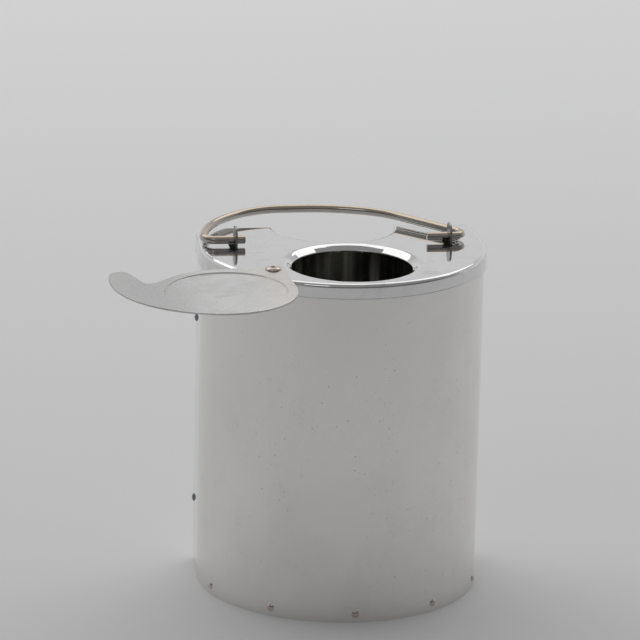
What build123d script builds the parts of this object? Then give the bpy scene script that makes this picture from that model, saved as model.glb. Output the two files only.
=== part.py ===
from build123d import *
import os
from math import acos, atan2, cos, degrees, hypot, radians, sin, sqrt

# An ashtray bin that stands against a post. A removable liner hangs in a mirror-polished outer
# shell. The lid rides on the liner, a bail handle hooks through two lugs, and a flat cover swings
# on one rivet over the drop hole.
# Frame: +Z up, -Y is the front, +Y the post side. The origin lies on the base plane, under the
# centre of the round front.

# ---- driving dimensions (mm) ----
sheet = 1.2  # stainless sheet of shell and lid
liner_sheet = 1.0
lid_top = 255.0  # top face of the lid above the base plane
lid_radius = 105.0  # round front of the lid
lid_back = 50.0  # back edge of the lid behind the centre of the round front
lid_taper = 2.5  # how much narrower each side is at the back edge
lid_corner = 9.0  # rounded back corners
skirt_height = 12.0
fold_radius = 3.0  # bend between the lid's plate and its skirt
hem_height = 1.4
hem_lip = 0.4
scallop_radius = 45.0  # hollow that wraps an 89 mm post
scallop_corner = 3.0

# each nested skin is the lid's outline moved inwards by one of these
skirt_inner = sheet
shell_outer = 1.4
shell_inner = shell_outer + sheet
strap_inner = shell_inner + 1.0
rim_outer = 1.6
upstand_outer = fold_radius + 0.1  # clears the inside of the lid's bend
rim_upstand = 1.0
liner_outer = 5.0
liner_inner = liner_outer + liner_sheet
liner_back_gap = 7.0  # extra room behind the liner's wings for the mounting bolts

rim_drop = 3.4  # top of the liner's flange below the lid's top face
shell_gap = 0.2  # air between the flange and the shell's top edge
pan_height = 14.0
liner_floor = 12.0
seam_y = 30.0  # butt seam between the front wrap and the back panel

hole_y = -47.9  # centre of the drop hole
hole_radius = 43.5
dish_radius = 48.8
dish_depth = 3.6
neck_height = 1.2
dish_bend = 6.5  # soft bend where the dish begins
neck_bend = 1.0

pivot_x, pivot_y = -60.2, -70.5
cover_sheet = 1.2
cover_tilt = 1.8  # outward lean of the pivot, so the swung-out cover hangs a little low
cover_turn = -130.9  # direction from the pivot to the swung-out cover's centre
cover_reach = 59.9  # from the pivot to the cover's centre
cover_radius = 50.8
cover_edge = 0.4  # rounding of the cover's sheared edge
ear_radius = 8.0
recess_radius = 43.5
recess_depth = 0.7
recess_slope = 42.0  # degrees from upright
tail_reach = 83.9  # from the cover's centre to the centre of the tail's round end
tail_turn = -82.0  # measured from the line pivot to cover centre
tail_end = 7.7
tail_back = 84.0
notch_u, notch_v = 79.9, -52.9  # sharp corner of the notch behind the tail, from the pivot
notch_radius = 6.0
seat_height = 0.7
seat_radius = 6.0
washer_height = 0.6
washer_radius = 6.5
pivot_shank = 2.5
running_gap = 0.05
head_radius = 5.9
head_height = 1.9

lug_x = 78.7  # middle of each lug
lug_sheet = 1.5
lug_width = 16.5
lug_top = 14.8  # above the lid
lug_foot_drop = 22.0  # lower end of a lug bracket below the lid
lug_leg_drop = 4.0  # its level leg, which reaches outwards to the liner's wall
lug_gap = 0.7  # air between a lug bracket's leg and the curved liner
slot_width = 5.6
slot_length = 23.0
slot_shift = 1.9  # both slots sit a little to the left of the lugs

rod = 6.0
bail_height = 4.6  # bail axis above the lid
bail_y = 0.0
bail_rest = 0.9  # degrees above level
bail_clearance = 0.1

bolt_x = 144.0  # mounting holes, hole to hole
bolt_z = 160.0
bolt_mid_z = 130.0
bolt_radius = 3.3
strip_width = 22.0
strip_height = 200.0
strip_sheet = 2.0
side_rivet_z = (50.0, 190.0)
side_rivet_y = 38.0
lug_rivet_z = 240.0

shell_top = lid_top - rim_drop - liner_sheet - shell_gap
pivot_height = seat_height + washer_height  # underside of the cover above the lid, at the pivot
os.makedirs("parts", exist_ok=True)


def save(builder, name):
    """Label one finished piece and write its file."""
    builder.part.label = name
    export_step(builder.part, f"parts/{name}.step")


def plan(inset, back_inset=None):
    """The lid's outline moved inwards: round front, tapering sides, hollow for the post."""
    back_inset = inset if back_inset is None else back_inset
    radius = lid_radius - inset
    back = lid_back - back_inset
    hollow = scallop_radius + inset
    hollow_x = sqrt(hollow**2 - (lid_back - back) ** 2)
    corner = (radius - lid_taper, back)
    with BuildSketch() as outline:
        with BuildLine():
            ThreePointArc((-radius, 0), (0, -radius), (radius, 0))
            Polyline((radius, 0), corner, (hollow_x, back))
            ThreePointArc((hollow_x, back), (0, lid_back - hollow), (-hollow_x, back))
            Polyline((-hollow_x, back), (-corner[0], back), (-radius, 0))
        make_face()
        back_points = outline.vertices().group_by(Axis.Y)[-1].sort_by(Axis.X)
        fillet([back_points[0], back_points[-1]], max(lid_corner - inset, 2.0))
        fillet(outline.vertices().group_by(Axis.Y)[-1].sort_by(Axis.X)[1:-1], scallop_corner + inset / 2)
    return outline.sketch


def wall(outer, inner, bottom, top, back_extra=0.0):
    """A ring between two outlines, from one height to another, in the part being built."""
    with BuildSketch(Plane.XY.offset(bottom)) as ring:
        add(plan(outer, outer + back_extra))
        add(plan(inner, inner + back_extra), mode=Mode.SUBTRACT)
    extrude(ring.sketch, amount=top - bottom)


def floor_plate(inset, bottom, thickness, back_extra=0.0):
    """A flat plate that fills one outline."""
    with BuildSketch(Plane.XY.offset(bottom)) as plate:
        add(plan(inset, inset + back_extra))
    extrude(plate.sketch, amount=thickness)


def block(x, y, z, mode):
    """A box from its limits along each axis."""
    middle = ((x[0] + x[1]) / 2, (y[0] + y[1]) / 2, (z[0] + z[1]) / 2)
    with Locations(middle):
        Box(x[1] - x[0], y[1] - y[0], z[1] - z[0], mode=mode)


def rivet(place, outward, shank, grip, head, height):
    """A domed rivet: head outside, shank through the sheets, flat upset end inside."""
    axis = Plane(origin=place, z_dir=outward)
    side = Plane(origin=place, x_dir=axis.x_dir, z_dir=axis.x_dir.cross(axis.z_dir))
    upset = 0.5 * height
    with BuildSketch(side) as profile:
        with BuildLine():
            Line((0, -grip - upset), (0, height))
            ThreePointArc((0, height), (0.68 * head, 0.62 * height), (head, 0))
            Polyline((head, 0), (shank, 0), (shank, -grip), (1.6 * shank, -grip))
            Polyline((1.6 * shank, -grip), (1.6 * shank, -grip - upset), (0, -grip - upset))
        make_face()
    revolve(profile.sketch, axis=Axis(place, outward))


def hole_through(place, direction, radius, length):
    """A round hole centred on a point."""
    with Locations(Plane(origin=place, z_dir=direction).location):
        Cylinder(radius, length, mode=Mode.SUBTRACT)


# ---- outer shell ----
bolt_places = [
    (side * bolt_x / 2, lid_back - shell_inner, bolt_mid_z + level * bolt_z / 2)
    for side in (-1, 1)
    for level in (-1, 1)
]
rivet_shank = 1.6
rivet_slack = 0.05


def side_face(y, inset):
    """Half width of an inset outline on its straight tapering side."""
    return lid_radius - inset - lid_taper * y / (lid_back - inset)


def side_normal(point):
    """Outward direction of the tapering side that a point lies on."""
    slope = atan2(lid_taper, lid_back - shell_outer)
    return (cos(slope) if point[0] > 0 else -cos(slope), sin(slope), 0)


side_rivet_places = [
    (side * side_face(side_rivet_y, shell_outer), side_rivet_y, z) for side in (-1, 1) for z in side_rivet_z
]
pan_rivet_angles = (-160, -125, -90, -55, -20)
pan_rivet_z = 6.5


def round_front(angle, inset, z):
    """A point on the round front of an inset outline."""
    radius = lid_radius - inset
    return (radius * cos(radians(angle)), radius * sin(radians(angle)), z)


def outward(point):
    """Horizontal direction away from the centre of the round front."""
    return (point[0], point[1], 0)


pan_rivet_places = [round_front(a, shell_outer, pan_rivet_z) for a in pan_rivet_angles]

with BuildPart() as shell_front:
    wall(shell_outer, shell_inner, 0, shell_top)
    block((-70, 70), (-10, lid_back + 1), (-1, shell_top + 1), Mode.SUBTRACT)
    block((-lid_radius, lid_radius), (seam_y, lid_back + 1), (-1, shell_top + 1), Mode.SUBTRACT)
    for place in pan_rivet_places:
        hole_through(place, outward(place), rivet_shank, 6 * sheet)
save(shell_front, "shell_front")

with BuildPart() as shell_back:
    wall(shell_outer, shell_inner, 0, shell_top)
    block((-lid_radius, lid_radius), (-lid_radius - 1, -10), (-1, shell_top + 1), Mode.SUBTRACT)
    for side in (-1, 1):
        limits = sorted((side * 70, side * (lid_radius + 1)))
        block(limits, (-10, seam_y), (-1, shell_top + 1), Mode.SUBTRACT)
    for place in bolt_places:
        hole_through(place, (0, 1, 0), bolt_radius, 6 * sheet)
    for place in side_rivet_places:
        hole_through(place, side_normal(place), rivet_shank, 6 * sheet)
save(shell_back, "shell_back")

with BuildPart() as shell_base:
    floor_plate(shell_inner, 0, sheet)
    wall(shell_inner, shell_inner + sheet, 0, pan_height)
    for place in pan_rivet_places:
        hole_through(place, outward(place), rivet_shank, 8 * sheet)
save(shell_base, "shell_base")

with BuildPart() as base_rivets:
    for place in pan_rivet_places:
        rivet(place, outward(place), rivet_shank, 2 * sheet + rivet_slack, 2.8, 1.3)
save(base_rivets, "base_rivets")

for side, name in ((-1, "seam_strap_left"), (1, "seam_strap_right")):
    with BuildPart() as seam_strap:
        wall(shell_inner, strap_inner, pan_height + 2, shell_top - 4)
        limits = sorted((side * 80, side * (lid_radius + 1)))
        block(limits, (seam_y - 10, side_rivet_y + 4), (0, lid_top), Mode.INTERSECT)
        for place in side_rivet_places:
            hole_through(place, side_normal(place), rivet_shank, 8 * sheet)
    save(seam_strap, name)

with BuildPart() as side_rivets:
    grip = side_face(side_rivet_y, shell_outer) - side_face(side_rivet_y, strap_inner) + rivet_slack
    for place in side_rivet_places:
        rivet(place, side_normal(place), rivet_shank, grip, 3.2, 1.5)
save(side_rivets, "side_rivets")

strip_y = lid_back - shell_inner - strip_sheet
for side, name in ((-1, "mount_strip_left"), (1, "mount_strip_right")):
    with BuildPart() as mount_strip:
        x = side * bolt_x / 2
        half = (strip_width / 2, strip_height / 2)
        block(
            (x - half[0], x + half[0]),
            (strip_y, strip_y + strip_sheet),
            (bolt_mid_z - half[1], bolt_mid_z + half[1]),
            Mode.ADD,
        )
        fillet(mount_strip.edges().filter_by(Axis.Y), 3)
        for place in bolt_places:
            hole_through(place, (0, 1, 0), bolt_radius, 8 * sheet)
    save(mount_strip, name)

# ---- removable liner ----
flange_top = lid_top - rim_drop
lug_rivet_y = (-4.5, 4.5)
lug_foot = lid_radius - liner_inner - lug_gap  # outer face of a lug bracket's lower leg
lug_rivet_x = lug_foot + lug_gap + liner_sheet
lug_rivet_places = [(side * lug_rivet_x, y, lug_rivet_z) for side in (-1, 1) for y in lug_rivet_y]

with BuildPart() as liner_wall:
    wall(liner_outer, liner_inner, liner_floor, flange_top - liner_sheet, liner_back_gap)
    for place in lug_rivet_places:
        hole_through(place, (1, 0, 0), rivet_shank, 6)
save(liner_wall, "liner_wall")

with BuildPart() as liner_base:
    floor_plate(liner_inner, liner_floor, liner_sheet, liner_back_gap)
    wall(liner_inner, liner_inner + liner_sheet, liner_floor, liner_floor + 8, liner_back_gap)
save(liner_base, "liner_base")

with BuildPart() as liner_rim:
    with BuildSketch(Plane.XY.offset(flange_top - liner_sheet)):
        add(plan(rim_outer))
        add(plan(liner_inner, liner_inner + liner_back_gap), mode=Mode.SUBTRACT)
    extrude(amount=liner_sheet)
    wall(upstand_outer, upstand_outer + rim_upstand, flange_top, lid_top - sheet)
save(liner_rim, "liner_rim")

for side, name in ((-1, "lug_left"), (1, "lug_right")):
    with BuildPart() as lug:
        half = lug_width / 2
        under = lid_top - sheet
        tab = sorted((side * (lug_x - lug_sheet / 2), side * (lug_x + lug_sheet / 2)))
        leg = sorted((side * (lug_x - lug_sheet / 2), side * lug_foot))
        foot = sorted((side * (lug_foot - lug_sheet), side * lug_foot))
        leg_top = under - lug_leg_drop
        block(tab, (-half, half), (leg_top - lug_sheet, lid_top + lug_top), Mode.ADD)
        fillet(lug.edges().filter_by(Axis.X).group_by(Axis.Z)[-1], half - 0.1)
        block(leg, (-half, half), (leg_top - lug_sheet, leg_top), Mode.ADD)
        block(foot, (-half, half), (under - lug_foot_drop, leg_top), Mode.ADD)
        fillet(lug.edges().filter_by(Axis.X).group_by(Axis.Z)[0], 3)
        hole_through((side * lug_x, bail_y, lid_top + bail_height), (1, 0, 0), rod / 2 + bail_clearance, 6)
        for place in lug_rivet_places:
            hole_through(place, (1, 0, 0), rivet_shank, 8)
    save(lug, name)

with BuildPart() as lug_rivets:
    grip = lug_gap + liner_sheet + lug_sheet + rivet_slack
    for place in lug_rivet_places:
        rivet(place, (place[0], 0, 0), rivet_shank, grip, 2.6, 0.8)
save(lug_rivets, "lug_rivets")

# ---- lid ----
lean = radians(cover_tilt)
turn = radians(cover_turn)
pivot_axis = (sin(lean) * cos(turn), sin(lean) * sin(turn), cos(lean))
toward_cover = (cos(lean) * cos(turn), cos(lean) * sin(turn), -sin(lean))


def pivot_plane(height):
    """The cover's plane at a height above the lid, centred on the pivot, x towards the cover."""
    lift = height / cos(lean)
    origin = (pivot_x, pivot_y, lid_top)
    raised = tuple(o + lift * a for o, a in zip(origin, pivot_axis))
    return Plane(origin=raised, x_dir=toward_cover, z_dir=pivot_axis)


with BuildPart() as lid_plate:
    floor_plate(0, lid_top - skirt_height, skirt_height)
    fillet(lid_plate.faces().sort_by(Axis.Z)[-1].outer_wire().edges(), fold_radius)
    with BuildPart(mode=Mode.SUBTRACT) as inside:
        floor_plate(skirt_inner, lid_top - skirt_height, skirt_height - sheet)
        fillet(inside.faces().sort_by(Axis.Z)[-1].outer_wire().edges(), fold_radius - sheet)
    wall(-hem_lip, skirt_inner, lid_top - skirt_height, lid_top - skirt_height + hem_height)
    # drop hole with its dished, turned-down lip
    dish_axis = Axis((0, hole_y, 0), (0, 0, 1))
    hole_through((0, hole_y, lid_top), (0, 0, 1), dish_radius + 2, 4 * sheet)
    with BuildSketch(Plane(origin=(0, hole_y, lid_top), x_dir=(1, 0, 0), z_dir=(0, -1, 0))):
        with BuildLine():
            top_line = FilletPolyline(
                (dish_radius + 2, 0),
                (dish_radius - 0.6, 0),
                (hole_radius, -dish_depth),
                (hole_radius, -dish_depth - neck_height),
                radius=(dish_bend, neck_bend),
            )
            offset(top_line, amount=sheet, side=Side.LEFT, closed=True)
        make_face()
    revolve(axis=dish_axis)
    # raised seat under the cover's pivot
    with BuildSketch(pivot_plane(seat_height)):
        Circle(seat_radius)
    extrude(amount=-(seat_height + sheet / 2))
    with Locations(pivot_plane(0).location):
        Cylinder(pivot_shank + 0.2, 8 * sheet, mode=Mode.SUBTRACT)
    for side in (-1, 1):
        slot_middle = side * lug_x - slot_shift
        block(
            (slot_middle - slot_width / 2, slot_middle + slot_width / 2),
            (-slot_length / 2, slot_length / 2),
            (lid_top - 2 * sheet, lid_top + sheet),
            Mode.SUBTRACT,
        )
save(lid_plate, "lid_plate")

# ---- swing cover and its pivot ----
with BuildPart() as pivot_washer:
    with BuildSketch(pivot_plane(seat_height)):
        Circle(washer_radius)
        Circle(pivot_shank + 0.1, mode=Mode.SUBTRACT)
    extrude(amount=washer_height)
save(pivot_washer, "pivot_washer")

back_washer_height = 1.0
shank_length = sheet + pivot_height + cover_sheet + 0.2 + back_washer_height + 0.4
with BuildPart() as back_washer:
    with BuildSketch(pivot_plane(-sheet - 0.3)):
        Circle(washer_radius)
        Circle(pivot_shank + 0.1, mode=Mode.SUBTRACT)
    extrude(amount=-back_washer_height)
save(back_washer, "back_washer")

head_base = pivot_height + cover_sheet + 0.2
with BuildPart() as pivot_rivet:
    plane = pivot_plane(head_base)
    upright = Plane(origin=plane.origin, x_dir=plane.x_dir, z_dir=plane.x_dir.cross(plane.z_dir))
    tail_depth = -shank_length - 1.1
    with BuildSketch(upright):
        with BuildLine():
            Line((0, tail_depth), (0, 0.9))
            Line((0, 0.9), (1.9, 0.9))
            Line((1.9, 0.9), (2.5, head_height - 0.3))
            ThreePointArc((2.5, head_height - 0.3), (3.4, head_height), (4.4, head_height - 0.35))
            ThreePointArc((4.4, head_height - 0.35), (5.6, head_height - 1.3), (head_radius, 0))
            Polyline((head_radius, 0), (pivot_shank, 0), (pivot_shank, -shank_length - 0.1))
            Polyline((pivot_shank, -shank_length - 0.1), (4.0, -shank_length - 0.1), (3.6, tail_depth))
            Line((3.6, tail_depth), (0, tail_depth))
        make_face()
    revolve(axis=Axis(plane.origin, plane.z_dir))
save(pivot_rivet, "pivot_rivet")


def circles_meet(first, first_radius, second, second_radius, side):
    """The point at two given distances from two centres, on the chosen side of their line."""
    span = (second[0] - first[0], second[1] - first[1])
    apart = hypot(*span)
    along = (first_radius**2 - second_radius**2 + apart**2) / (2 * apart)
    off = side * sqrt(first_radius**2 - along**2)
    unit = (span[0] / apart, span[1] / apart)
    return (first[0] + along * unit[0] - off * unit[1], first[1] + along * unit[1] + off * unit[0])


def touch(center, radius, other, outward_side=1):
    """Where a circle touches a neighbour whose centre is given."""
    span = (other[0] - center[0], other[1] - center[1])
    scale = outward_side * radius / hypot(*span)
    return (center[0] + scale * span[0], center[1] + scale * span[1])


def graze(center, radius, point, side):
    """Where a line from a point touches a circle, on the chosen side."""
    apart = hypot(point[0] - center[0], point[1] - center[1])
    angle = atan2(point[1] - center[1], point[0] - center[0]) + side * acos(radius / apart)
    return (center[0] + radius * cos(angle), center[1] + radius * sin(angle))


def arc_round(center, start, end, clockwise):
    """An arc about a centre from one point to another, in the line being drawn."""
    first = degrees(atan2(start[1] - center[1], start[0] - center[0]))
    last = degrees(atan2(end[1] - center[1], end[0] - center[0]))
    sweep = (last - first) % 360
    radius = hypot(start[0] - center[0], start[1] - center[1])
    CenterArc(center, radius, first, sweep - 360 if clockwise else sweep)


disc = (cover_reach, 0)
tail = (
    disc[0] + tail_reach * cos(radians(tail_turn)),
    disc[1] + tail_reach * sin(radians(tail_turn)),
)
notch = (notch_u, notch_v)
back = circles_meet(disc, tail_back - cover_radius, tail, tail_back - tail_end, -1)
back_start = touch(disc, cover_radius, back, -1)
back_stop = touch(tail, tail_end, back, -1)
notch_start = graze(tail, tail_end, notch, 1)
notch_stop = graze(disc, cover_radius, notch, -1)

with BuildPart() as cover_disc:
    with BuildSketch(pivot_plane(pivot_height)):
        with Locations(disc):
            Circle(cover_radius)
        Circle(ear_radius)
        # straight flanks from the ear to the disc
        flank = degrees(atan2(sqrt(cover_reach**2 - (cover_radius - ear_radius) ** 2), cover_radius - ear_radius))
        with BuildLine():
            corners = []
            for center, radius in (((0, 0), ear_radius), (disc, cover_radius)):
                for way in (1, -1):
                    angle = radians(180 - flank) * way
                    corners.append((center[0] + radius * cos(angle), center[1] + radius * sin(angle)))
            Polyline(corners[0], corners[2], corners[3], corners[1], corners[0])
        make_face()
        # finger tail: a long back, a round end and a hollow notch, all meeting as tangents
        with BuildLine():
            arc_round(back, back_start, back_stop, True)
            arc_round(tail, back_stop, notch_start, True)
            FilletPolyline(notch_start, notch, notch_stop, radius=notch_radius)
            Polyline(notch_stop, disc, back_start)
        make_face()
    extrude(amount=cover_sheet)
    fillet(cover_disc.faces().sort_by(Axis((0, 0, 0), pivot_axis))[-1].edges(), cover_edge)
    # pressed centre panel, one step lower than the rim
    with BuildSketch(pivot_plane(pivot_height)):
        with Locations(disc):
            Circle(recess_radius + 0.4)
    extrude(amount=-recess_depth, taper=recess_slope)
    with BuildSketch(pivot_plane(pivot_height + cover_sheet)):
        with Locations(disc):
            Circle(recess_radius)
    extrude(amount=-recess_depth, taper=recess_slope, mode=Mode.SUBTRACT)
    with Locations(pivot_plane(pivot_height).location):
        Cylinder(pivot_shank + running_gap, 6 * cover_sheet, mode=Mode.SUBTRACT)
save(cover_disc, "cover_disc")

# ---- bail handle ----
# a hand-bent bow: full on the left, running out straight to a tight hook on the right
bail_level = lid_top + bail_height
bail_plane = Plane(origin=(0, bail_y, bail_level), z_dir=(0, 0, 1)).rotated((bail_rest, 0, 0))
with BuildPart() as bail_handle:
    with BuildLine(bail_plane) as bow:
        FilletPolyline(
            (-71.5, 0),
            (-103.0, 0),
            (-94.8, 39.6),
            (-57.6, 76.6),
            (2.2, 76.8),
            (39.2, 62.3),
            (96.5, 0),
            (62.0, 0),
            radius=(9.0, 75.0, 60.0, 115.0, 66.0, 6.5),
        )
    with BuildSketch(Plane(origin=bow.line @ 0, z_dir=bow.line % 0)):
        Circle(rod / 2)
    sweep()
    fillet(bail_handle.faces().filter_by(GeomType.PLANE).edges(), 0.5)
save(bail_handle, "bail_handle")
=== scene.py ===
import math

import bpy
from mathutils import Matrix, Vector


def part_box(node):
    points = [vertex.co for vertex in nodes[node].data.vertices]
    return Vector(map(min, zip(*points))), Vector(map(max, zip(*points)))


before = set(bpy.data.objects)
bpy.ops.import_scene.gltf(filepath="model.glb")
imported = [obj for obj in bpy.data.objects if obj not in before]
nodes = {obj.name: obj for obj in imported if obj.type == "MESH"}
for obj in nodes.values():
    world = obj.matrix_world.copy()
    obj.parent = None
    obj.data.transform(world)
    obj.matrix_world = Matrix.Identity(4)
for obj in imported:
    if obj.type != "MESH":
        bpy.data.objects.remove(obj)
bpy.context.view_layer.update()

MM = 0.001
LID_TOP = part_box("shell_front")[1].z + 4.6 * MM  # the lid's top face stands this far above the shell's edge
SKIRT_TOP = LID_TOP - 4 * MM  # under the fold between the lid's plate and its skirt
HOLE_CENTRE = Vector((0.0, -47.9 * MM, 0.0))  # the dish and its drop hole stand forward of the middle
WALL_RADIUS = 0.1  # about the radius of the body's round front, to unroll its wall
CENTRE = Vector((0.0, 0.0, LID_TOP))  # centre of the lid's round front, which the camera is set by


# ---------------------------------------------------------------- node helpers
class Graph:
    """Short calls for building a shader graph."""

    def __init__(self, tree):
        self.tree = tree
        tree.nodes.clear()

    def add(self, kind, inputs=None, **settings):
        """Make a node; inputs maps socket names or numbers to values or other sockets."""
        node = self.tree.nodes.new(kind)
        for key, value in settings.items():
            setattr(node, key, value)
        for key, value in (inputs or {}).items():
            socket = node.inputs[key]
            if isinstance(value, bpy.types.NodeSocket):
                self.tree.links.new(value, socket)
            else:
                socket.default_value = value
        return node

    def math(self, operation, a, b=0.0, clamp=False):
        return self.add("ShaderNodeMath", {0: a, 1: b}, operation=operation, use_clamp=clamp).outputs[0]

    def mapped(self, value, low, high, to_low=0.0, to_high=1.0):
        """Rescale a value smoothly from one range to another, clamped at both ends."""
        return self.add(
            "ShaderNodeMapRange",
            {"Value": value, "From Min": low, "From Max": high, "To Min": to_low, "To Max": to_high},
            interpolation_type="SMOOTHSTEP",
        ).outputs["Result"]

    def mix(self, factor, a, b):
        node = self.add("ShaderNodeMix", data_type="RGBA")
        for index, value in ((0, factor), (6, a), (7, b)):
            socket = node.inputs[index]
            if isinstance(value, bpy.types.NodeSocket):
                self.tree.links.new(value, socket)
            elif index:
                socket.default_value = (*value, 1.0)
            else:
                socket.default_value = value
        return node.outputs[2]

    def scaled(self, vector, scale, turn=(0.0, 0.0, 0.0)):
        return self.add(
            "ShaderNodeMapping", {"Vector": vector, "Scale": scale, "Rotation": turn}
        ).outputs[0]

    def noise(self, vector, scale, detail=3.0, roughness=0.5, distortion=0.0):
        return self.add(
            "ShaderNodeTexNoise",
            {
                "Vector": vector,
                "Scale": scale,
                "Detail": detail,
                "Roughness": roughness,
                "Distortion": distortion,
            },
        ).outputs["Fac"]


# ---------------------------------------------------------------- world
def make_world():
    """A plain studio: pale behind the object, dimmer overhead and towards the front."""
    world = bpy.data.worlds.new("studio")
    world.use_nodes = True
    bpy.context.scene.world = world
    g = Graph(world.node_tree)
    direction = g.add("ShaderNodeTexCoord").outputs["Generated"]
    y, z = g.add("ShaderNodeSeparateXYZ", {0: direction}).outputs[1:3]
    behind = g.mapped(y, -0.5, 0.8)
    sides = g.mix(behind, (0.10, 0.10, 0.102), (0.72, 0.72, 0.73))
    colour = g.mix(g.mapped(z, 0.15, 0.80), sides, (0.28, 0.28, 0.28))
    background = g.add("ShaderNodeBackground", {"Color": colour, "Strength": 1.0}).outputs[0]
    g.add("ShaderNodeOutputWorld", {"Surface": background})


# ---------------------------------------------------------------- materials
def new_material(name):
    material = bpy.data.materials.new(name)
    material.use_nodes = True
    graph = Graph(material.node_tree)
    return material, graph, graph.add("ShaderNodeTexCoord").outputs["Object"]


def unrolled(g, place):
    """A flat map of an upright wall: distance round it, and height."""
    x, y, z = g.add("ShaderNodeSeparateXYZ", {0: place}).outputs
    around = g.math("MULTIPLY", g.math("ARCTAN2", x, g.math("MULTIPLY", y, -1.0)), WALL_RADIUS)
    return g.add("ShaderNodeCombineXYZ", {0: around, 1: z}).outputs[0]


def marks(g, chart, scale, size, share):
    """Small marks of uneven size on some of the cells: 1 on a mark."""
    cells = g.add("ShaderNodeTexVoronoi", {"Vector": chart, "Scale": scale}, feature="F1")
    pick = g.add("ShaderNodeSeparateColor", {0: cells.outputs["Color"]}).outputs
    reach = g.math("MULTIPLY", g.math("ADD", pick[1], 0.25), size)
    near = g.math("LESS_THAN", cells.outputs["Distance"], reach)
    return g.math("MULTIPLY", near, g.math("LESS_THAN", pick[0], share))


def scratches(g, chart, turn, width, length, share):
    """Short straight scratches along one direction, as very long thin marks."""
    along = g.scaled(chart, (1, 1, 1), (0, 0, turn))
    stretched = g.scaled(along, (0.03 / width, 0.03 / length, 1.0))
    return marks(g, stretched, 1.0, 0.035, share)


def blots(g, chart, places):
    """Single marks given one by one, as an ellipse each, broken up by fine noise: 0 to strength."""
    total = None
    broken = g.mapped(g.noise(chart, 700.0, 2.0), 0.35, 0.55, 0.35, 1.0)
    for across, along, half_length, half_width, turn, strength in places:
        moved = g.add(
            "ShaderNodeVectorMath", {0: chart, 1: (across * MM, along * MM, 0)}, operation="SUBTRACT"
        ).outputs[0]
        level = g.scaled(moved, (1, 1, 0), (0, 0, -math.radians(turn)))
        unit = g.scaled(level, (1 / (half_length * MM), 1 / (half_width * MM), 0))
        away = g.add("ShaderNodeVectorMath", {0: unit}, operation="LENGTH").outputs["Value"]
        mark = g.mapped(away, 1.0, 0.5, 0.0, strength)
        total = g.math("MAXIMUM", total, mark) if total else mark
    return g.math("MULTIPLY", total, broken)


def steel(
    name,
    colour=(0.80, 0.79, 0.775),
    gloss=(0.015, 0.05),
    waves=0.0,
    wave_scale=7.0,
    scratch=0.10,
    dust=0.05,
    haze=0.02,
    brushed=0.0,
    stain=0.0,
    wall=False,
    lower=None,
    finish=None,
    powder_and_painted_light_colour=(0.72, 0.70, 0.66),
    layer_and_painted_light=None,
):
    """Stainless steel: polish that varies in smudges, wavy sheet, hairline scratches and dust.

    lower is the pair of heights between which dust and haze grow towards the ground. finish, if
    given, changes bump height, colour and roughness. film, if given, says how thick the matt layer
    lies: real marks on the body, a painted highlight on the cover's edge, and in the liner partly ash,
    partly painted reflections. powder is the matt layer's colour.
    """
    material, g, place = new_material(name)
    chart = unrolled(g, place) if wall else place
    smudge = g.noise(place, 16.0, 6.0, 0.6, 0.4)
    rough = g.mapped(smudge, 0.35, 0.7, gloss[0], gloss[1])
    crowd = g.mapped(g.noise(place, 26.0, 4.0, 0.62, 0.5), 0.40, 0.62)
    if lower:
        height_up = g.add("ShaderNodeSeparateXYZ", {0: place}).outputs[2]
        crowd = g.math("MULTIPLY", crowd, g.mapped(height_up, lower[0], lower[1], 0.18, 1.0))
    lines = g.math(
        "MAXIMUM",
        scratches(g, chart, 0.9, 0.00011, 0.0035, g.math("MULTIPLY", crowd, scratch)),
        scratches(g, chart, -0.7, 0.00008, 0.0020, g.math("MULTIPLY", crowd, scratch * 2)),
    )
    if brushed:
        grain = g.noise(g.scaled(place, (60.0, 2600.0, 2600.0)), 1.0, 2.0)
        rough = g.math("ADD", rough, g.math("MULTIPLY", g.math("SUBTRACT", grain, 0.5), brushed))
    shade = g.mix(g.mapped(smudge, 0.3, 0.75), colour, tuple(c * 0.95 for c in colour))
    if stain:
        tarnish = g.noise(place, 34.0, 5.0, 0.65, 1.2)
        shade = g.mix(g.mapped(tarnish, 0.52, 0.8, 0.0, stain), shade, tuple(c * 0.5 for c in colour))
    sheet = g.noise(place, wave_scale, 1.0, 0.4)
    fine = g.noise(place, 900.0, 2.0)
    height = g.math("ADD", g.math("MULTIPLY", sheet, waves), g.math("MULTIPLY", fine, 0.000002))
    if finish:
        height, shade, rough = finish(g, place, height, shade, rough)
    bump = g.add("ShaderNodeBump", {"Strength": 1.0, "Distance": 1.0, "Height": height}).outputs[0]
    metal = g.add(
        "ShaderNodeBsdfPrincipled",
        {"Base Color": shade, "Metallic": 1.0, "Roughness": rough, "Normal": bump},
    ).outputs[0]
    grains = g.math(
        "MAXIMUM",
        marks(g, chart, 300.0, 0.15, g.math("MULTIPLY", crowd, dust)),
        marks(g, chart, 620.0, 0.16, g.math("MULTIPLY", crowd, dust * 2)),
    )
    cover = g.math("MAXIMUM", g.math("MULTIPLY", grains, 0.8), g.math("MULTIPLY", lines, 0.5))
    cloud = g.mapped(g.noise(place, 60.0, 5.0, 0.7, 0.8), 0.35, 0.75, 0.2, 1.0)
    veil = g.math("MULTIPLY", g.math("MULTIPLY", crowd, cloud), haze)
    cover = g.math("ADD", cover, veil, clamp=True)
    if layer_and_painted_light:
        cover = g.math("MAXIMUM", cover, layer_and_painted_light(g, place))
    matt = g.add("ShaderNodeBsdfDiffuse", {"Color": (*powder_and_painted_light_colour, 1)}).outputs[0]
    surface = g.add("ShaderNodeMixShader", {0: cover, 1: metal, 2: matt})
    g.add("ShaderNodeOutputMaterial", {"Surface": surface.outputs[0]})
    return material


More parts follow.
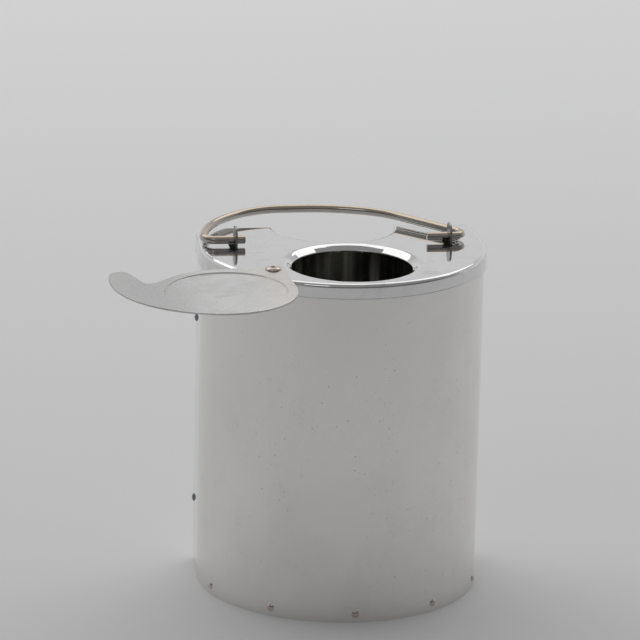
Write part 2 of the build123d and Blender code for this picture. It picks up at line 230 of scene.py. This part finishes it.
def hand_rolled(g, place, height, shade, rough):
    """The lid's skirt is slightly dented, and the dish's lip is rippled."""
    up = g.add("ShaderNodeSeparateXYZ", {0: place}).outputs[2]
    skirt = g.mapped(up, SKIRT_TOP, SKIRT_TOP - 4 * MM)
    dents = g.math("MULTIPLY", g.math("SUBTRACT", g.noise(place, 75.0, 2.0, 0.6), 0.5), 0.0005)
    extra = g.math("MULTIPLY", skirt, dents)
    rest = g.add("ShaderNodeVectorMath", {0: place, 1: HOLE_CENTRE}, operation="SUBTRACT").outputs[0]
    flat = g.add("ShaderNodeVectorMath", {0: rest, 1: (1, 1, 0)}, operation="MULTIPLY").outputs[0]
    away = g.add("ShaderNodeVectorMath", {0: flat}, operation="LENGTH").outputs["Value"]
    lip = g.mapped(away, 58 * MM, 53 * MM)
    ripple = g.math("MULTIPLY", g.math("SUBTRACT", g.noise(place, 48.0, 2.0, 0.6), 0.5), 0.0002)
    extra = g.math("ADD", extra, g.math("MULTIPLY", lip, ripple))
    spots = blots(g, place, SMUDGES)
    shade = g.mix(spots, shade, (0.40, 0.38, 0.35))
    return g.math("ADD", height, extra), shade, g.math("ADD", rough, g.math("MULTIPLY", spots, 0.15))


def rod_painted_reflection(g, place, height, shade, rough):
    """A painted warm reflection on the rod's upward-facing side, and darker steel below."""
    normal = g.add("ShaderNodeTexCoord").outputs["Normal"]
    up = g.add("ShaderNodeSeparateXYZ", {0: normal}).outputs[2]
    layer_and_painted_light = g.mapped(up, 0.30, 0.62, 0.0, 0.85)
    shade = g.mix(layer_and_painted_light, shade, (0.54, 0.45, 0.36))
    return height, shade, g.math("ADD", rough, g.math("MULTIPLY", layer_and_painted_light, 0.05))


# Scratches and rubbed spots on the body: distance round it and height in mm, half length and half
# width, turn in degrees and strength.
SCRATCHES = [
    (34, 224, 3.6, 0.28, 27, 0.8),
    (86, 214, 6.0, 0.16, 55, 0.45),
    (88, 208, 5.0, 0.16, -40, 0.4),
    (91, 200, 6.5, 0.16, 62, 0.4),
    (95, 206, 5.0, 0.15, -62, 0.35),
    (63, 189, 5.0, 0.22, 4, 0.45),
    (102, 181, 2.4, 0.25, 75, 0.6),
    (-65, 179, 2.6, 0.35, -25, 0.7),
    (-57, 172, 0.7, 0.7, 0, 0.8),
    (-75, 176, 5.0, 0.2, -30, 0.5),
]
# Smudges on the lid's plate: x and y in mm, half sizes, turn and strength.
SMUDGES = [
    (52, -78, 9, 8, 0, 0.3),
    (-65, -19, 8, 2.2, 4, 0.3),
    (-56, 6, 1.2, 1.2, 0, 0.7),
    (-42, -30, 7, 2.5, 12, 0.28),
    (88, -12, 5, 3, 50, 0.3),
    (60, 8, 7, 4, 10, 0.2),
]


def body_marks(g, place):
    """The body's own scratches, laid out on its unrolled wall."""
    return blots(g, unrolled(g, place), SCRATCHES)


LINER_MIDDLE = (0.0, -0.04, 0.13)  # a point well inside the liner
# The runs below are partly ash, partly painted reflections of the liner's lit wall.
ASH_AND_PAINTED_REFLECTION_RUNS = ((-31, 4), (25, 6), (41.5, 1.6), (46, 1.4))  # middle across and half width, mm


def ash_and_painted_reflection_runs(g, place):
    """Pale streaks down the liner's inside, thin everywhere and thick along a few runs: partly ash and dried
    drips, partly painted reflections.
    """
    x, y, z = g.add("ShaderNodeSeparateXYZ", {0: place}).outputs
    drawn = g.scaled(place, (75.0, 75.0, 6.0))
    streaks = g.mapped(g.noise(drawn, 1.0, 4.0, 0.6), 0.38, 0.75, 0.04, 0.7)
    patches = g.mapped(g.noise(place, 28.0, 4.0, 0.6, 0.6), 0.35, 0.65, 0.15, 1.0)
    thick = g.math("MULTIPLY", streaks, patches)
    for middle, half in ASH_AND_PAINTED_REFLECTION_RUNS:
        run = g.mapped(g.math("ABSOLUTE", g.math("SUBTRACT", x, middle * MM)), half * MM, half * 0.3 * MM)
        thick = g.math("MAXIMUM", thick, g.math("MULTIPLY", run, g.mapped(streaks, 0.0, 0.4, 0.5, 1.0)))
    normal = g.add("ShaderNodeTexCoord").outputs["Normal"]
    middle = g.add("ShaderNodeVectorMath", {0: place, 1: LINER_MIDDLE}, operation="SUBTRACT").outputs[0]
    facing = g.add("ShaderNodeVectorMath", {0: middle, 1: normal}, operation="DOT_PRODUCT").outputs["Value"]
    return g.math("MULTIPLY", thick, g.mapped(facing, 0.001, -0.001, 0.1, 1.0))


def darker_tail_warm_pivot(g, place, height, shade, rough):
    """The tail is darker, and the metal near the pivot a little warm."""
    x = g.add("ShaderNodeSeparateXYZ", {0: place}).outputs[0]
    tail = g.mapped(x, -0.105, -0.150, 0.0, 1.0)
    mottle = g.mapped(g.noise(place, 70.0, 4.0, 0.6, 0.8), 0.40, 0.66, 0.0, 0.35)
    shade = g.mix(tail, shade, (0.52, 0.52, 0.515))
    shade = g.mix(mottle, shade, (0.55, 0.54, 0.52))
    warm = g.mapped(x, -0.085, -0.060, 0.0, 0.5)
    return height, g.mix(warm, shade, (0.76, 0.71, 0.64)), rough


def edge_painted_highlight(g, place):
    """A painted highlight in matt pale metal on the cover's cut edge, from its lowest point round to its free
    side.
    """
    normal = g.add("ShaderNodeTexCoord").outputs["Normal"]
    up = g.add("ShaderNodeSeparateXYZ", {0: normal}).outputs[2]
    x = g.add("ShaderNodeSeparateXYZ", {0: place}).outputs[0]
    edge = g.mapped(up, 0.85, 0.45)
    free = g.mapped(x, -0.125, -0.095, 0.0, 0.85)
    return g.math("MULTIPLY", edge, free)


def dress(material, *names):
    """Give CAD nodes a material."""
    for name in names:
        slots = nodes[name].data.materials
        slots.clear()
        slots.append(material)


# ---------------------------------------------------------------- floor, lights, camera
FLOOR_HALF = 30.0  # m


def make_floor():
    """A wide plain pale floor."""
    size = FLOOR_HALF
    mesh = bpy.data.meshes.new("floor")
    corners = [(-size, -size, 0), (size, -size, 0), (size, size, 0), (-size, size, 0)]
    mesh.from_pydata(corners, [], [(0, 1, 2, 3)])
    floor = bpy.data.objects.new("floor", mesh)
    bpy.context.collection.objects.link(floor)
    material, g, _ = new_material("pale_floor")
    paper = g.add("ShaderNodeBsdfDiffuse", {"Color": (0.90, 0.90, 0.90, 1)}).outputs[0]
    g.add("ShaderNodeOutputMaterial", {"Surface": paper})
    mesh.materials.append(material)


def make_light(name, place, target, size, power):
    """A large soft lamp that points at a target."""
    data = bpy.data.lights.new(name, "AREA")
    data.shape = "RECTANGLE"
    data.size, data.size_y = size
    data.energy = power
    light = bpy.data.objects.new(name, data)
    light.location = place
    light.rotation_mode = "QUATERNION"
    light.rotation_quaternion = (Vector(target) - Vector(place)).to_track_quat("-Z", "Y")
    bpy.context.collection.objects.link(light)


CAMERA_BEARING = math.radians(-8.7)
CAMERA_HEIGHT = math.radians(15.93)
CAMERA_ROLL = math.radians(1.37)
CAMERA_AWAY = 3.422
LENS = 264.4  # mm, on a 36 mm sensor
LID_RIGHT = math.radians(0.2755)  # the lid's centre stands this far right of the view's middle
LID_UP = math.radians(0.9264)


def make_camera():
    """A long lens, slightly left of the front and above the lid."""
    back = Vector(
        (
            math.sin(CAMERA_BEARING) * math.cos(CAMERA_HEIGHT),
            -math.cos(CAMERA_BEARING) * math.cos(CAMERA_HEIGHT),
            math.sin(CAMERA_HEIGHT),
        )
    )
    data = bpy.data.cameras.new("camera")
    data.sensor_width = 36.0
    data.lens = LENS
    data.clip_end = 200.0
    camera = bpy.data.objects.new("camera", data)
    bpy.context.collection.objects.link(camera)
    camera.location = CENTRE + back * CAMERA_AWAY
    seen = Vector((math.tan(LID_RIGHT), math.tan(LID_UP), -1.0)).normalized()
    aim = seen.rotation_difference(Vector((0, 0, -1)))
    straight = (-back).to_track_quat("-Z", "Y")
    roll = Matrix.Rotation(CAMERA_ROLL, 3, "Z").to_quaternion()
    camera.rotation_mode = "QUATERNION"
    camera.rotation_quaternion = straight @ roll @ aim
    bpy.context.scene.camera = camera


make_camera()
make_world()
make_floor()
make_light("backdrop_lamp", (0.0, 2.8, 3.2), (0.0, 2.8, 0.0), (7.0, 4.0), 86.0)
make_light("front_softbox", (-1.3, -2.2, 2.6), CENTRE, (1.0, 0.7), 2.2)

mirror = steel(
    "mirror_shell",
    waves=0.00035,
    wall=True,
    lower=(LID_TOP - 0.025, LID_TOP - 0.095),
    dust=0.45,
    haze=0.035,
    scratch=0.5,
    layer_and_painted_light=body_marks,
)
lid_steel = steel(
    "lid_polished", (0.78, 0.78, 0.775), (0.02, 0.07), waves=0.0002, stain=0.4, finish=hand_rolled, haze=0.08
)
# The cover's cut edge carries a painted highlight in matt pale metal.
satin = steel(
    "cover_satin", (0.72, 0.72, 0.71), (0.24, 0.34), brushed=0.05, haze=0.2, finish=darker_tail_warm_pivot, layer_and_painted_light=edge_painted_highlight
)
# The rod's upward-facing side carries a painted warm reflection.
rod_steel = steel("rod_drawn", (0.50, 0.485, 0.46), (0.05, 0.10), stain=0.4, finish=rod_painted_reflection)
lug_steel = steel("lug_cut", (0.36, 0.36, 0.36), (0.2, 0.35), stain=0.4)
rivet_steel = steel("rivet_bright", (0.62, 0.54, 0.50), (0.04, 0.10), stain=0.3)
# The side rivets' dark colour is a painted dark reflection on the same rivet steel.
painted_dark_rivet = steel("rivet_painted_dark", (0.20, 0.20, 0.23), (0.2, 0.35), stain=0.3)
# The liner's pale streaks are partly ash, partly painted reflections.
liner_steel = steel(
    "liner_dull",
    (0.50, 0.50, 0.47),
    (0.10, 0.25),
    stain=0.5,
    dust=0.01,
    powder_and_painted_light_colour=(0.56, 0.55, 0.48),
    layer_and_painted_light=ash_and_painted_reflection_runs,
)
plain_steel = steel("mill_sheet", (0.60, 0.60, 0.59), (0.22, 0.36), stain=0.3, haze=0.05)

dress(mirror, "shell_front", "shell_back")
dress(lid_steel, "lid_plate")
dress(satin, "cover_disc")
dress(rod_steel, "bail_handle")
dress(lug_steel, "lug_left", "lug_right")
dress(rivet_steel, "pivot_rivet", "pivot_washer", "back_washer", "base_rivets", "lug_rivets")
dress(painted_dark_rivet, "side_rivets")
dress(liner_steel, "liner_wall", "liner_base", "liner_rim")
dress(
    plain_steel,
    "shell_base",
    "seam_strap_left",
    "seam_strap_right",
    "mount_strip_left",
    "mount_strip_right",
)

bpy.context.scene.view_settings.view_transform = "Standard"
